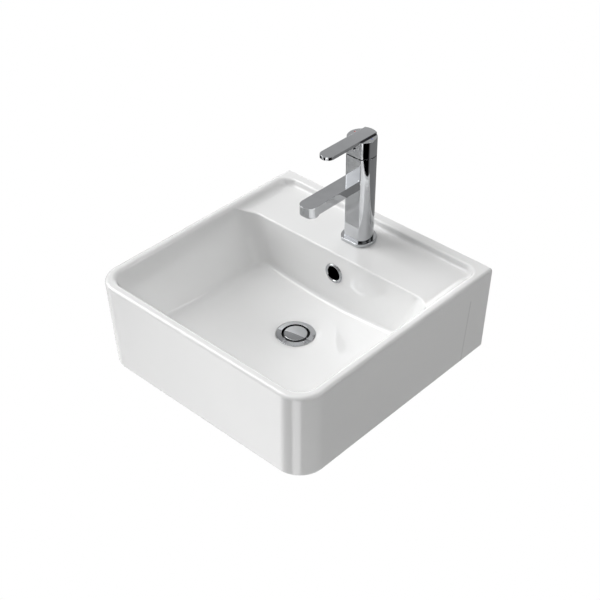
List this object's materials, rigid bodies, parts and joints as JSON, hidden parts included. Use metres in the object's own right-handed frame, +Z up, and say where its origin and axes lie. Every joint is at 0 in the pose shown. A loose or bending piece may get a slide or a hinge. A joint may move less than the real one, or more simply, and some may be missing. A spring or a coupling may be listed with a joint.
{
  "type": "wall-hung basin",
  "caption": "Square wall-hung ceramic basin with rounded front corners, a tap deck with a single-lever mixer, an overflow and a press-to-open waste.",
  "frame": {"origin": "midway between the two wall-bolt holes, on the wall plane (the basin's flat back)", "axes": "+Y into the wall, -Y to the front, +X to the right seen from the front, +Z up"},
  "size_m": [0.4196, 0.4198, 0.3834],
  "materials": {
    "glaze": "white glossy glaze",
    "chrome": "bright chrome plate on brass",
    "chrome_trim": "bright chrome plate",
    "brass": "machined",
    "steel": "zinc plated",
    "rubber": "matte black",
    "white_plastic": "moulded",
    "grey_plastic": "moulded",
    "disc_ceramic": "lapped",
    "red_mark": "enamel",
    "blue_mark": "enamel"
  },
  "bodies": {
    "basin": {"ceramic_basin": "glaze", "overflow_ring": "chrome_trim", "waste_body": "chrome", "waste_flange_seal": "rubber", "waste_lower_seal": "rubber", "waste_washer": "white_plastic", "waste_backnut": "brass", "plug_latch_housing": "grey_plastic", "plug_spring": "steel", "base_gasket": "rubber", "base_plate": "chrome", "mixer_body": "chrome", "aerator_housing": "chrome", "aerator_insert": "white_plastic", "aerator_seal": "rubber", "cartridge_base": "grey_plastic", "cartridge_seals": "rubber", "fixed_disc": "disc_ceramic", "cartridge_housing": "white_plastic", "cartridge_nut": "brass", "deck_gasket": "rubber", "deck_clamp": "steel", "fixing_stud": "steel", "fixing_nut": "brass"},
    "mixer_head": {"mixer_head": "chrome", "hot_mark": "red_mark", "cold_mark": "blue_mark", "cartridge_rotor": "grey_plastic", "stem_pin": "steel", "head_adapter": "white_plastic"},
    "mixer_lever": {"mixer_lever": "chrome", "cartridge_stem": "brass", "grub_screw": "steel"},
    "cartridge_slider": {"moving_disc": "disc_ceramic", "disc_carrier": "white_plastic"},
    "plug": {"plug_cap": "chrome", "plug_guide": "chrome_trim", "plug_seal": "rubber", "plug_retainer": "white_plastic", "plug_stem": "brass"}
  },
  "joints": [
    {"name": "lever_turn", "type": "hinge", "parent": "basin", "child": "mixer_head", "pos_m": [0, -0.062, 0.2178], "axis": [0, 0, 1], "range_deg": [-45, 45]},
    {"name": "lever_lift", "type": "hinge", "parent": "mixer_head", "child": "mixer_lever", "pos_m": [0, -0.062, 0.226], "axis": [-1, 0, 0], "range_deg": [0, 17]},
    {"name": "disc_slide", "type": "slide", "parent": "mixer_head", "child": "cartridge_slider", "axis": [0, -1, 0], "range_m": [0, 0.006]},
    {"name": "plug_lift", "type": "slide", "parent": "basin", "child": "plug", "axis": [0, 0, 1], "range_m": [0, 0.008], "deforming": ["plug_spring"]}
  ],
  "couplings": [
    {"joint": "disc_slide", "follows": "lever_lift", "m_per_rad": 0.02}
  ]
}
